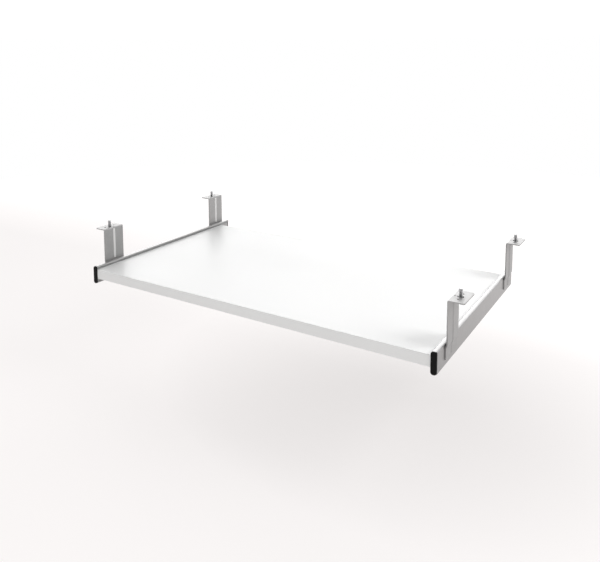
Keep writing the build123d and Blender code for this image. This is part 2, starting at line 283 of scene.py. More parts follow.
def smooth(piece):
    """Smooth shading over bends, kept flat over large faces."""
    activate(piece)
    bpy.ops.object.shade_smooth_by_angle(angle=SMOOTH_ANGLE)
    use_modifier(piece, "WEIGHTED_NORMAL", weight=90, keep_sharp=True)
    deselect()


def bake_place(piece):
    """Puts the piece's place into its mesh, leaving the object at the origin."""
    activate(piece)
    bpy.ops.object.transform_apply(location=True, rotation=True, scale=True)
    deselect()


def bar(name, low, high):
    """A cuboid between two corners, ready to be shaped."""
    deselect()
    low, high = Vector(low), Vector(high)
    bpy.ops.mesh.primitive_cube_add(size=1, location=(low + high) / 2, scale=high - low)
    piece = bpy.context.object
    piece.name = name
    bake_place(piece)
    return piece


def rod(name, radius, start, end, sides=48):
    """A round bar from start to end, which lie on a line along X or Z."""
    deselect()
    start, end = Vector(start), Vector(end)
    turn = (0, math.pi / 2, 0) if near(start.z, end.z) else (0, 0, 0)
    bpy.ops.mesh.primitive_cylinder_add(
        vertices=sides, radius=radius, depth=(end - start).length, location=(start + end) / 2,
        rotation=turn,
    )
    piece = bpy.context.object
    piece.name = name
    bake_place(piece)
    return piece


def join(pieces):
    """Joins loose solids into the first one."""
    deselect()
    for piece in pieces:
        piece.select_set(True)
    bpy.context.view_layer.objects.active = pieces[0]
    bpy.ops.object.join()
    return bpy.context.object


def combine(piece, tool, operation):
    """Cuts a tool solid from the piece or welds it on, and uses the tool up."""
    use_modifier(piece, "BOOLEAN", object=tool, operation=operation, solver="EXACT")
    bpy.data.objects.remove(tool)


def sheet_strip(name, section, y0, y1):
    """A bent strip of sheet with no thickness yet: its section's points (x, z), run from y0 to y1.
    Its faces look to the left of the section's direction of travel."""
    (xa, za), (xb, zb) = section[:2]
    deselect()
    bpy.ops.mesh.primitive_plane_add(
        size=1,
        location=((xa + xb) / 2, (y0 + y1) / 2, (za + zb) / 2),
        rotation=(0, math.atan2(za - zb, xb - xa), 0),
    )
    piece = bpy.context.object
    piece.name = name
    piece.scale = (math.hypot(xb - xa, zb - za), y1 - y0, 1)
    bake_place(piece)
    edit(piece)
    for (xa, za), (xb, zb) in zip(section[1:], section[2:]):
        pick(piece, "EDGE", edge_at(xa, za))
        bpy.ops.mesh.extrude_region_move(TRANSFORM_OT_translate={"value": (xb - xa, 0, zb - za)})
    deselect()
    return piece


def round_bends(piece, bends, segments=5):
    """Gives the strip's bends, each (x, z, radius), their radius."""
    edit(piece)
    for x, z, radius in bends:
        pick(piece, "EDGE", edge_at(x, z))
        bpy.ops.mesh.bevel(
            offset_type="OFFSET", offset=radius, segments=segments, affect="EDGES", clamp_overlap=False
        )
    deselect()


def round_corners(piece, axis, radius, segments):
    """In edit mode, rounds a cuboid's four edges that run along an axis, 0 for X or 1 for Y."""
    others = [i for i in range(3) if i != axis]
    pick(piece, "EDGE", lambda e: all(near(e.verts[0].co[i], e.verts[1].co[i]) for i in others))
    bpy.ops.mesh.bevel(offset=radius, segments=segments, affect="EDGES")


def round_rim(piece, axis, place, radius, segments):
    """In edit mode, rounds the edges that lie in the plane across an axis at this place."""
    pick(piece, "EDGE", lambda e: all(near(v.co[axis], place) for v in e.verts))
    bpy.ops.mesh.bevel(offset=radius, segments=segments, affect="EDGES")


def thicken(piece, thickness):
    """Gives the sheet its thickness, on the side that its faces look to."""
    use_modifier(piece, "SOLIDIFY", thickness=thickness, offset=1.0, use_even_offset=True)
    outward_faces(piece)


def copy_of(piece, name, shift_y=0.0, mirrored=False):
    """A copy with its own mesh, moved along Y or turned into its left-hand mirror image."""
    activate(piece)
    bpy.ops.object.duplicate(linked=False)
    twin = bpy.context.object
    twin.name = name
    edit(twin)
    bpy.ops.mesh.select_all(action="SELECT")
    bpy.ops.transform.translate(value=(0, shift_y, 0))
    if mirrored:
        bpy.ops.transform.resize(value=(-1, 1, 1), center_override=(0, 0, 0))
        bpy.ops.mesh.normals_make_consistent(inside=False)
    deselect()
    return twin


def hand_over(piece, node, body, material):
    """The finished piece is shaded, and takes its CAD node's place, with its body and finish."""
    smooth(piece)
    piece.name = f"{node}_detail"
    piece.data.name = piece.name
    piece.data.materials.clear()
    piece.data.materials.append(material)
    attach(piece, body)
    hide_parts(node)


def both_sides(piece, node, body, material):
    """Hands over the right-hand piece and its mirror image. node holds SIDE in place of the side."""
    left = copy_of(piece, "left_copy", mirrored=True)
    hand_over(piece, node.replace("SIDE", "right"), body, material)
    hand_over(left, node.replace("SIDE", "left"), body, material)


def four_corners(piece, node, body, material):
    """Hands over the front right piece and its three copies. node holds PLACE and SIDE."""
    rear = copy_of(piece, "rear_copy", shift_y=BRACKET_PITCH)
    both_sides(piece, node.replace("PLACE", "front"), body, material)
    both_sides(rear, node.replace("PLACE", "rear"), body, material)


# ---------------------------------------------------------------- finishes


class Nodes:
    """An empty node tree, to be built with short calls."""

    def __init__(self, tree, coordinates):
        self.tree = tree
        self.tree.nodes.clear()
        self.place = self.new("ShaderNodeTexCoord").outputs[coordinates]

    def new(self, kind):
        return self.tree.nodes.new(kind)

    def link(self, out_socket, in_socket):
        self.tree.links.new(out_socket, in_socket)

    def math(self, operation, *values):
        """A sum on sockets and numbers."""
        node = self.new("ShaderNodeMath")
        node.operation = operation
        for value, socket in zip(values, node.inputs):
            if isinstance(value, float):
                socket.default_value = value
            else:
                self.link(value, socket)
        return node.outputs["Value"]

    def spread(self, value, low, high, from_low=0.3, from_high=0.7, interpolation="LINEAR"):
        """Maps values between from_low and from_high onto low to high."""
        node = self.new("ShaderNodeMapRange")
        node.interpolation_type = interpolation
        for name, number in (
            ("From Min", from_low), ("From Max", from_high), ("To Min", low), ("To Max", high)
        ):
            node.inputs[name].default_value = number
        self.link(value, node.inputs["Value"])
        return node.outputs["Result"]


class Finish(Nodes):
    """A node material on the object's own coordinates."""

    def __init__(self, name):
        self.material = bpy.data.materials.get(name) or bpy.data.materials.new(name)
        self.material.use_nodes = True
        super().__init__(self.material.node_tree, "Object")
        self.shader = self.new("ShaderNodeBsdfPrincipled")
        output = self.new("ShaderNodeOutputMaterial")
        self.link(self.shader.outputs["BSDF"], output.inputs["Surface"])

    def set(self, **values):
        """Sets uniform values on the shader itself."""
        for name, value in values.items():
            self.shader.inputs[name.replace("_", " ")].default_value = value

    def axes(self):
        """The X, Y and Z coordinates, each on its own."""
        node = self.new("ShaderNodeSeparateXYZ")
        self.link(self.place, node.inputs["Vector"])
        return [node.outputs[axis] for axis in "XYZ"]

    def stretched(self, scale, shift=(0, 0, 0)):
        """Coordinates scaled by three factors, which draws a pattern out along an axis, and shifted."""
        mapping = self.new("ShaderNodeMapping")
        mapping.inputs["Scale"].default_value = scale
        mapping.inputs["Location"].default_value = shift
        self.link(self.place, mapping.inputs["Vector"])
        return mapping.outputs["Vector"]

    def noise(self, scale, detail=2.0, roughness=0.5, coordinates=None):
        node = self.new("ShaderNodeTexNoise")
        node.inputs["Scale"].default_value = scale
        node.inputs["Detail"].default_value = detail
        node.inputs["Roughness"].default_value = roughness
        self.link(coordinates or self.place, node.inputs["Vector"])
        return node.outputs["Fac"]

    def cells(self, scale):
        """The distance from the middle of the nearest of many scattered spots."""
        node = self.new("ShaderNodeTexVoronoi")
        node.inputs["Scale"].default_value = scale
        self.link(self.place, node.inputs["Vector"])
        return node.outputs["Distance"]

    def mix(self, factor, first, second):
        """A colour between two others, each of which is a colour or a socket."""
        node = self.new("ShaderNodeMix")
        node.data_type = "RGBA"
        for colour, socket in ((first, node.inputs["A"]), (second, node.inputs["B"])):
            if isinstance(colour, bpy.types.NodeSocket):
                self.link(colour, socket)
            else:
                socket.default_value = (*colour, 1)
        self.link(factor, node.inputs["Factor"])
        return node.outputs["Result"]

    def add(self, first, second, share):
        """Two patterns added together, the second weighted by its share."""
        return self.math("MULTIPLY_ADD", second, share, first)

    def bump(self, height, distance, strength=1.0):
        node = self.new("ShaderNodeBump")
        node.inputs["Distance"].default_value = distance
        node.inputs["Strength"].default_value = strength
        self.link(height, node.inputs["Height"])
        self.link(node.outputs["Normal"], self.shader.inputs["Normal"])


def shaded(colour, factor):
    return tuple(min(1.0, c * factor) for c in colour)


def melamine_finish():
    """Satin white melamine: a fine pearl embossing, with faint clouds in tone and gloss."""
    f = Finish("white_melamine")
    board = colours().board
    clouds = f.noise(7.0, detail=3.0)
    f.link(f.mix(f.spread(clouds, 0.0, 1.0), shaded(board, 0.985), shaded(board, 1.012)),
           f.shader.inputs["Base Color"])
    pearl = f.noise(900.0, detail=1.0)
    grain = f.noise(2600.0, detail=1.0)
    f.link(f.spread(f.add(clouds, pearl, 0.4), 0.38, 0.50, 0.4, 1.0), f.shader.inputs["Roughness"])
    f.set(Specular_IOR_Level=0.45)
    f.bump(f.add(pearl, grain, 0.4), 0.06 * MM, 0.35)
    return f.material


def edging_finish():
    """Matt white edging, calendered along its length."""
    f = Finish("white_edging")
    edging = colours().edging
    lines = f.noise(1.0, detail=3.0, coordinates=f.stretched((40, 40, 1800)))
    clouds = f.noise(12.0, detail=2.0)
    f.link(f.mix(f.spread(clouds, 0.0, 1.0), shaded(edging, 0.985), shaded(edging, 1.01)),
           f.shader.inputs["Base Color"])
    f.link(f.spread(lines, 0.42, 0.52), f.shader.inputs["Roughness"])
    f.set(Specular_IOR_Level=0.4)
    f.bump(lines, 0.03 * MM, 0.3)
    return f.material


def zinc_finish(name, colour, roughness, stretch):
    """Bright zinc plating over rolled steel: fine lines along the rolling direction, a soft mottle,
    and small rubbed spots. Its colour is kept, so that a piece's own finish can build on it."""
    f = Finish(name)
    lines = f.noise(1.0, detail=4.0, roughness=0.6, coordinates=f.stretched(stretch))
    mottle = f.noise(60.0, detail=3.0)
    spots = f.cells(260.0)
    tone = f.add(f.add(lines, mottle, 0.6), spots, 0.25)
    f.colour = f.mix(f.spread(tone, 0.0, 1.0, 0.55, 1.15), shaded(colour, 0.90), shaded(colour, 1.08))
    f.link(f.colour, f.shader.inputs["Base Color"])
    f.link(f.spread(f.add(lines, mottle, 0.8), roughness - 0.07, roughness + 0.08, 0.6, 1.2),
           f.shader.inputs["Roughness"])
    f.set(Metallic=1.0)
    f.bump(f.add(lines, spots, 0.3), 0.03 * MM, 0.5)
    return f


def screw_finish():
    """Bright zinc-plated wire, turned and rolled, with a darker film in its roots."""
    f = Finish("screw_steel")
    colour = colours().screw
    film = f.noise(500.0, detail=3.0)
    rings = f.noise(1.0, detail=2.0, coordinates=f.stretched((120, 120, 3500)))
    f.link(f.mix(f.spread(film, 0.0, 1.0), shaded(colour, 0.80), shaded(colour, 1.12)),
           f.shader.inputs["Base Color"])
    f.link(f.spread(f.add(film, rings, 0.5), 0.20, 0.34, 0.5, 1.0), f.shader.inputs["Roughness"])
    f.set(Metallic=1.0)
    f.bump(rings, 0.02 * MM, 0.4)
    return f.material


def ball_finish():
    """Polished bearing steel with a thin film of grease."""
    f = Finish("ball_steel")
    colour = colours().ball
    film = f.noise(700.0, detail=2.0)
    f.link(f.mix(f.spread(film, 0.0, 1.0), shaded(colour, 0.92), colour),
           f.shader.inputs["Base Color"])
    f.link(f.spread(film, 0.08, 0.16), f.shader.inputs["Roughness"])
    f.set(Metallic=1.0, Coat_Weight=0.2, Coat_Roughness=0.15)
    return f.material


def plastic_finish():
    """Black moulded plastic with a fine spark-eroded texture."""
    f = Finish("black_plastic")
    colour = colours().plastic
    pits = f.noise(2200.0, detail=2.0)
    clouds = f.noise(90.0, detail=2.0)
    f.link(f.mix(f.spread(clouds, 0.0, 1.0), shaded(colour, 0.85), shaded(colour, 1.3)),
           f.shader.inputs["Base Color"])
    f.link(f.spread(f.add(clouds, pits, 0.5), 0.42, 0.58, 0.5, 1.0), f.shader.inputs["Roughness"])
    f.set(Specular_IOR_Level=0.12)
    f.bump(pits, 0.05 * MM, 0.5)
    return f.material


def rubber_finish():
    """Black rubber with a dusty bloom."""
    f = Finish("black_rubber")
    colour = colours().rubber
    bloom = f.noise(150.0, detail=4.0)
    f.link(f.mix(f.spread(bloom, 0.0, 1.0), shaded(colour, 0.8), shaded(colour, 1.8)),
           f.shader.inputs["Base Color"])
    f.link(f.spread(bloom, 0.68, 0.85), f.shader.inputs["Roughness"])
    f.set(Specular_IOR_Level=0.25)
    f.bump(f.noise(1500.0, detail=2.0), 0.04 * MM, 0.4)
    return f.material


def floor_finish():
    """Pale translucent studio sheet, lit from below by its own glow. Painted light: the glow is stronger
    towards the back. Painted shadow: the glow is weaker in an oval pool under the object, in place of its
    shadow."""
    f = Finish("studio_floor")
    colour, glow, back = colours().floor, studio().floor_glow, studio().floor_painted_back_light
    clouds = f.noise(1.5, detail=3.0)
    # painted light: more glow towards the back
    behind = f.spread(f.axes()[1], 0.0, glow * back, 0.35, 1.2)
    # painted shadow: an oval pool of weaker glow under the object
    away = f.new("ShaderNodeVectorMath")
    away.operation = "LENGTH"
    f.link(f.stretched((1.9, 2.7, 0.0), shift=(-0.42, -0.18, 0.0)), away.inputs[0])
    pool = f.spread(away.outputs["Value"], glow - studio().floor_painted_shadow, glow, 0.1, 1.1)
    f.link(f.add(pool, behind, 1.0), f.shader.inputs["Emission Strength"])
    f.link(f.mix(f.spread(clouds, 0.0, 1.0), shaded(colour, 0.97 - glow), shaded(colour, 0.98 - glow)),
           f.shader.inputs["Base Color"])
    f.set(Roughness=0.95, Specular_IOR_Level=0.0, Emission_Color=(*colour, 1))
    return f.material


def rail_finish():
    return zinc_finish("rail_steel", colours().rail, 0.38, (1400, 12, 1400)).material


def bracket_finish():
    """Zinc plating, with a painted highlight: a lighter line along the rib on the leg's inner face, in
    place of the rib's bright reflection.
    """
    f = zinc_finish("bracket_steel", colours().bracket, 0.56, (500, 900, 16))
    s = sizes()
    x, y, z = f.axes()
    half_pitch, half_leg = BRACKET_PITCH / 2, s.joggle_top / 2
    leg = RAIL_HIGH.x + s.sheet
    inner_face = f.spread(f.math("ABSOLUTE", x), 1.0, 0.0, leg + 1.35 * MM, leg + 1.6 * MM)
    from_rib = f.math("WRAP", f.math("ADD", y, half_pitch - s.highlight_offset), half_pitch, -half_pitch)
    line = f.spread(f.math("ABSOLUTE", from_rib), 1.0, 0.0, 1.5 * MM, 2.6 * MM)
    from_middle = f.math("ABSOLUTE", f.math("ADD", z, half_leg))
    height = f.spread(from_middle, 1.0, 0.0, half_leg - 4.0 * MM, half_leg - 2.0 * MM)
    # painted highlight: the lighter colour is painted in a line along the rib on the leg's inner face
    painted_highlight_mask = f.math("MULTIPLY", f.math("MULTIPLY", inner_face, line), height)
    f.link(f.mix(painted_highlight_mask, f.colour, colours().painted_rib_highlight), f.shader.inputs["Base Color"])
    return f.material


def cage_finish():
    return zinc_finish("cage_steel", shaded(colours().rail, 0.85), 0.42, (1200, 20, 1200)).material


def wear(node, material):
    """A kept CAD node gets its finish."""
    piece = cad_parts[node]
    for index in range(max(1, len(piece.data.materials))):
        if index < len(piece.data.materials):
            piece.data.materials[index] = material
        else:
            piece.data.materials.append(material)


# ---------------------------------------------------------------- operators


class DRAWER_OT_board(bpy.types.Operator):
    """Finish the tray board and its four edge bands"""

    bl_idname = "drawer.board"
    bl_label = "Tray board"

    def execute(self, context):
        wear("tray_core", melamine_finish())
        edging = edging_finish()
        for node in ("front_edge_band", "rear_edge_band", "left_edge_band", "right_edge_band"):
            wear(node, edging)
        return {"FINISHED"}


class DRAWER_OT_brackets(bpy.types.Operator):
    """Bend, rib and punch the four brackets"""

    bl_idname = "drawer.brackets"
    bl_label = "Brackets"

    def press_rib(self, piece, width, height):
        """Presses a rounded rib outwards down the middle of the bent sheet, in three steps. The first
        step runs a little further at both ends than the others."""
        cuts = (0.5, 0.36, 0.22, 0.08)
        tip_ends = (BRACKET_HIGH.x - 20.4 * MM, BRACKET_HIGH.x - 21.9 * MM)
        foot_ends = (BRACKET_LOW.z + 3.0 * MM, BRACKET_LOW.z + 4.6 * MM)
        steps = ((0.37, 0.14, 0), (0.23, 0.58, 1), (0.09, 0.28, 1))
        edit(piece)
        for share in cuts:
            for side in (-1, 1):
                cut_across(piece, (0, BRACKET_MID_Y + side * share * width, 0), (0, 1, 0))
        for x in tip_ends:
            cut_across(piece, (x, 0, 0), (1, 0, 0))
        for z in foot_ends:
            cut_across(piece, (0, 0, z), (0, 0, 1))
        for share, lift, end in steps:
            pick(piece, "VERT", lambda v: abs(v.co.y - BRACKET_MID_Y) < share * width + SLACK
                 and v.co.x < tip_ends[end] + SLACK and v.co.z > foot_ends[end] - SLACK)
            bpy.ops.transform.shrink_fatten(value=lift * height)
        deselect()

    def punch(self, piece, s):
        """Cuts the slot for the desk screw and the two small holes in the flange."""
        above, below = 2 * s.sheet, -3 * s.sheet
        reach = (s.slot_length - s.slot_width) / 2
        tools = [
            bar("slot", (DESK_SCREW_X - reach, BRACKET_MID_Y - s.slot_width / 2, below),
                (DESK_SCREW_X + reach, BRACKET_MID_Y + s.slot_width / 2, above))
        ]
        for side in (-1, 1):
            place = DESK_SCREW_X + side * reach
            tools.append(rod("slot_end", s.slot_width / 2, (place, BRACKET_MID_Y, below),
                             (place, BRACKET_MID_Y, above)))
        for tool in tools:
            combine(piece, tool, "DIFFERENCE")
        for side in (-1, 1):
            y = BRACKET_MID_Y + side * s.pilot_offset
            hole = rod("hole", s.pilot_radius, (DESK_SCREW_X, y, below), (DESK_SCREW_X, y, above))
            combine(piece, hole, "DIFFERENCE")

    def execute(self, context):
        s = sizes()
        leg = RAIL_HIGH.x + s.sheet
        section = [
            (BRACKET_HIGH.x, 0.0),
            (leg, 0.0),
            (leg, -s.joggle_top),
            (RAIL_HIGH.x, -s.joggle_bottom),
            (RAIL_HIGH.x, BRACKET_LOW.z),
        ]
        piece = sheet_strip("bracket", section, BRACKET_LOW.y, BRACKET_HIGH.y)
        edit(piece)
        for (x, z), radius in ((section[0], s.corner), (section[-1], 0.7 * s.corner)):
            pick(piece, "VERT", lambda v: near(v.co.x, x) and near(v.co.z, z))
            bpy.ops.mesh.bevel(offset=radius, segments=6, affect="VERTICES", clamp_overlap=False)
        deselect()
        round_bends(piece, [(leg, 0.0, s.bend)], segments=7)
        round_bends(piece, [(x, z, 1.4 * MM) for x, z in section[2:4]], segments=3)
        self.press_rib(piece, s.bead_width, s.bead_height)
        thicken(piece, s.sheet)
        self.punch(piece, s)
        break_edges(piece, s.deburr)
        four_corners(piece, "PLACE_SIDE_bracket", "desk_frame", bracket_finish())
        return {"FINISHED"}


class DRAWER_OT_outer_rails(bpy.types.Operator):
    """Roll-form the two outer rails, with their curled lips and race shoulders"""

    bl_idname = "drawer.outer_rails"
    bl_label = "Outer rails"

    def execute(self, context):
        s = sizes()
        x0, x1 = RAIL_LOW.x, RAIL_HIGH.x
        z0, z1 = RAIL_LOW.z, RAIL_HIGH.z
        section = [(x0, z0 + s.curl), (x0, z0), (x1, z0), (x1, z1), (x0, z1), (x0, z1 - s.curl)]
        piece = sheet_strip("outer_rail", section, RAIL_LOW.y, RAIL_HIGH.y)
        round_bends(piece, [(x1, z, s.rail_corner) for z in (z0, z1)])
        round_bends(piece, [(x0, z, s.lip_corner) for z in (z0, z1)], segments=7)
        edit(piece)
        middle = x1 - s.groove_inset
        for x in (middle - s.groove_width / 2, middle, middle + s.groove_width / 2):
            cut_across(piece, (x, 0, 0), (1, 0, 0))
        pick(piece, "VERT", lambda v: near(v.co.x, middle))
        bpy.ops.transform.shrink_fatten(value=s.groove_depth)
        deselect()
        thicken(piece, s.rail_sheet)
        break_edges(piece, 0.8 * s.deburr)
        both_sides(piece, "SIDE_outer_rail", "desk_frame", rail_finish())
        return {"FINISHED"}


class DRAWER_OT_inner_rails(bpy.types.Operator):
    """Roll-form the two inner rails and punch their slots"""

    bl_idname = "drawer.inner_rails"
    bl_label = "Inner rails"

    def execute(self, context):
        s = sizes()
        half_height = 13.0 * MM
        slot_reach, slot_half, slot_corner = 6.0 * MM, 2.3 * MM, 2.2 * MM
        lug_length, lug_height, lug_root, lug_setback = 3.0 * MM, 1.9 * MM, 0.3 * MM, 4.0 * MM
        x0, x1 = INNER_LOW.x, INNER_HIGH.x
        z0, z1 = RAIL_MID_Z - half_height, RAIL_MID_Z + half_height
        section = [(x1, z1), (x0, z1), (x0, z0), (x1, z0)]
        piece = sheet_strip("inner_rail", section, INNER_LOW.y, INNER_HIGH.y)
        round_bends(piece, [(x0, z1, s.inner_corner), (x0, z0, s.inner_corner)])
        thicken(piece, s.rail_sheet)
        for i in range(2):
            y = FIRST_TRAY_SCREW_Y + (i + 0.5) * TRAY_SCREW_PITCH
            slot = bar("slot", (x0 - s.rail_sheet, y - slot_reach, RAIL_MID_Z - slot_half),
                       (x0 + 2 * s.rail_sheet, y + slot_reach, RAIL_MID_Z + slot_half))
            edit(slot)
            round_corners(slot, 0, slot_corner, 6)
            deselect()
            combine(piece, slot, "DIFFERENCE")
        lug_y = INNER_HIGH.y - lug_setback
        for side in (-1, 1):
            face = RAIL_MID_Z + side * half_height
            low, high = sorted((face - side * lug_root, face + side * lug_height))
            lug = bar("lug", (x0 + 3.5 * MM, lug_y, low), (x0 + 6.5 * MM, lug_y + lug_length, high))
            break_edges(lug, 0.4 * MM, 3)
            combine(piece, lug, "UNION")
        break_edges(piece, 0.8 * s.deburr)
        both_sides(piece, "SIDE_inner_rail", "tray", rail_finish())
        return {"FINISHED"}


class DRAWER_OT_ball_cages(bpy.types.Operator):
    """Press the two ball cages and finish their balls"""

    bl_idname = "drawer.ball_cages"
    bl_label = "Ball cages and balls"

    def execute(self, context):
        s = sizes()
        window_margin, window_half, window_corner = 12.0 * MM, 5.0 * MM, 3.0 * MM
        balls_in_row, pocket_play = 5, 1.07
        x0, x1 = CAGE_LOW.x, CAGE_HIGH.x
        z0, z1 = CAGE_LOW.z, CAGE_HIGH.z
        section = [(x0, z0), (x1, z0), (x1, z1), (x0, z1)]
        piece = sheet_strip("ball_cage", section, CAGE_LOW.y, CAGE_HIGH.y)
        round_bends(piece, [(x1, z0, 1.1 * MM), (x1, z1, 1.1 * MM)], segments=4)
        thicken(piece, s.cage_sheet)
        low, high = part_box("right_upper_balls")
        ball = (high.z - low.z) / 2
        x = (low.x + high.x) / 2
        pitch = (high.y - low.y - 2 * ball) / (balls_in_row - 1)
        for i in range(balls_in_row):
            y = low.y + ball + i * pitch
            pocket = rod("pocket", pocket_play * ball, (x, y, z0 - s.cage_sheet),
                         (x, y, z1 + s.cage_sheet), 32)
            combine(piece, pocket, "DIFFERENCE")
        window = bar("window",
                     (x1 - 3 * s.cage_sheet, CAGE_LOW.y + window_margin, RAIL_MID_Z - window_half),
                     (x1 + s.cage_sheet, CAGE_HIGH.y - window_margin, RAIL_MID_Z + window_half))
        edit(window)
        round_corners(window, 0, window_corner, 5)
        deselect()
        combine(piece, window, "DIFFERENCE")
        break_edges(piece, 0.12 * MM)
        left = copy_of(piece, "left_copy", mirrored=True)
        hand_over(piece, "right_ball_cage", "right_cage", cage_finish())
        hand_over(left, "left_ball_cage", "left_cage", cage_finish())
        polished = ball_finish()
        for side in SIDES:
            for row in ("upper", "lower"):
                wear(f"{side}_{row}_balls", polished)
        return {"FINISHED"}


class DRAWER_OT_end_caps(bpy.types.Operator):
    """Mould the two black end caps"""

    bl_idname = "drawer.end_caps"
    bl_label = "End caps"

    def execute(self, context):
        s = sizes()
        plug_width, plug_height, plug_lead = 5.0 * MM, 23.2 * MM, 1.0 * MM
        front_round, rim_width, rim_slope, rim_depth = 0.7 * MM, 1.3 * MM, 0.35 * MM, 0.3 * MM
        plate_back = CAP_LOW.y + s.cap_plate
        piece = bar("end_cap", CAP_LOW, (CAP_HIGH.x, plate_back, CAP_HIGH.z))
        edit(piece)
        round_corners(piece, 1, s.cap_corner, 6)
        round_rim(piece, 1, CAP_LOW.y, front_round, 4)
        pick(piece, "FACE", lambda f: f.normal.y < -0.99)
        bpy.ops.mesh.inset(thickness=rim_width)
        bpy.ops.mesh.inset(thickness=rim_slope, depth=-rim_depth)
        pick(piece, "FACE", lambda f: f.normal.y > 0.99 and near(f.calc_center_median().y, plate_back))
        bpy.ops.mesh.extrude_region_move()
        cap_x, plug_x = (CAP_LOW.x + CAP_HIGH.x) / 2, TRAY_EDGE_X + s.rail_sheet + plug_width / 2
        bpy.ops.transform.resize(
            value=(plug_width / (CAP_HIGH.x - CAP_LOW.x), 1, plug_height / (CAP_HIGH.z - CAP_LOW.z)),
            center_override=(cap_x, plate_back, RAIL_MID_Z),
        )
        bpy.ops.transform.translate(value=(plug_x - cap_x, 0, 0))
        for length in (CAP_HIGH.y - plate_back - plug_lead, plug_lead):
            bpy.ops.mesh.extrude_region_move(TRANSFORM_OT_translate={"value": (0, length, 0)})
        bpy.ops.transform.resize(value=(0.8, 1, 0.95), center_override=(plug_x, CAP_HIGH.y, RAIL_MID_Z))
        outward_faces(piece)
        both_sides(piece, "SIDE_end_cap", "tray", plastic_finish())
        return {"FINISHED"}


def cross_tool(name, centre, axis, span, width, depth):
    """A cross-shaped punch for a screw's recess, running depth to either side of the centre."""
    arms = []
    for turn in (0, 1):
        across = [width / 2, width / 2, width / 2]
        others = [i for i in range(3) if i != axis]
        across[others[turn]] = span / 2
        across[axis] = depth
        arms.append(bar(name, Vector(centre) - Vector(across), Vector(centre) + Vector(across)))
    combine(arms[0], arms[1], "UNION")
    return arms[0]


class DRAWER_OT_desk_screws(bpy.types.Operator):
    """Turn the four desk screws, with their coarse thread and recessed head"""

    bl_idname = "drawer.desk_screws"
    bl_label = "Desk screws"

    def thread(self, s, x, root, low, high):
        """A helical ridge round the shank, fading out at both ends. Its section is drawn beside the
        shank, wound round the world's Z axis and moved back."""
        sunk = 0.15 * MM
        fades = ((1.0, 0.95), (0.66, 0.95), (0.33, 0.95))
        deselect()
        bpy.ops.mesh.primitive_plane_add(size=1, location=(x + root, BRACKET_MID_Y, low))
        ridge = bpy.context.object
        ridge.name = "thread"
        bake_place(ridge)
        edit(ridge)
        base, crest = 0.94 * s.thread_pitch, 0.46 * s.thread_pitch
        corners = {(-1, -1): (-sunk, -base / 2), (-1, 1): (-sunk, base / 2),
                   (1, -1): (s.thread_depth, -crest / 2), (1, 1): (s.thread_depth, crest / 2)}
        for (sx, sy), (dx, dz) in corners.items():
            pick(ridge, "VERT", lambda v: (v.co.x - x - root) * sx > 0
                 and (v.co.y - BRACKET_MID_Y) * sy > 0 and near(v.co.z, low))
            bpy.ops.transform.translate(value=(dx - sx * 0.5, -sy * 0.5, dz))
        deselect()
        activate(ridge)
        ridge.location = (-x, -BRACKET_MID_Y, 0)
        bake_place(ridge)
        turns = (high - low) / s.thread_pitch
        use_modifier(ridge, "SCREW", axis="Z", angle=2 * math.pi, screw_offset=s.thread_pitch,
                     iterations=int(turns), steps=28, render_steps=28, use_merge_vertices=False)
        edit(ridge)
        pick(ridge, "EDGE", lambda e: e.is_boundary)
        bpy.ops.mesh.fill()
        top = low + int(turns) * s.thread_pitch
        fade = 0.5 * s.thread_pitch
        for share, shrink in fades:
            pick(ridge, "VERT", lambda v: math.hypot(v.co.x, v.co.y) > root + SLACK
                 and (v.co.z < low + fade * share or v.co.z > top - fade * share))
            bpy.ops.transform.resize(value=(shrink, shrink, 1), center_override=(0, 0, 0))
        bpy.ops.mesh.select_all(action="SELECT")
        bpy.ops.transform.translate(value=(x, BRACKET_MID_Y, 0))
        deselect()
        outward_faces(ridge)
        return ridge

    def execute(self, context):
        s = sizes()
        x, y, tip = DESK_SCREW_X, BRACKET_MID_Y, SCREW_HIGH.z
        root = s.shank_radius - s.thread_depth
        seat = -s.sheet
        shank = rod("desk_screw", root, (x, y, seat - 0.2 * MM), (x, y, tip))
        edit(shank)
        round_rim(shank, 2, tip, 0.7 * MM, 3)
        deselect()
        ridge = self.thread(s, x, root, seat + 0.5 * MM, tip - 0.9 * MM)
        head_radius = (SCREW_HIGH.x - SCREW_LOW.x) / 2
        head = rod("head", head_radius, (x, y, SCREW_LOW.z), (x, y, seat))
        edit(head)
        round_rim(head, 2, SCREW_LOW.z, 0.62 * s.head_height, 6)
        round_rim(head, 2, seat, 0.2 * MM, 2)
        deselect()
        recess = cross_tool("recess", (x, y, SCREW_LOW.z), 2, span=5.4 * MM, width=1.3 * MM, depth=1.7 * MM)
        combine(head, recess, "DIFFERENCE")
        combine(shank, head, "UNION")
        combine(shank, ridge, "UNION")
        outward_faces(shank)
        four_corners(shank, "PLACE_SIDE_desk_screw", "desk_frame", screw_finish())
        return {"FINISHED"}


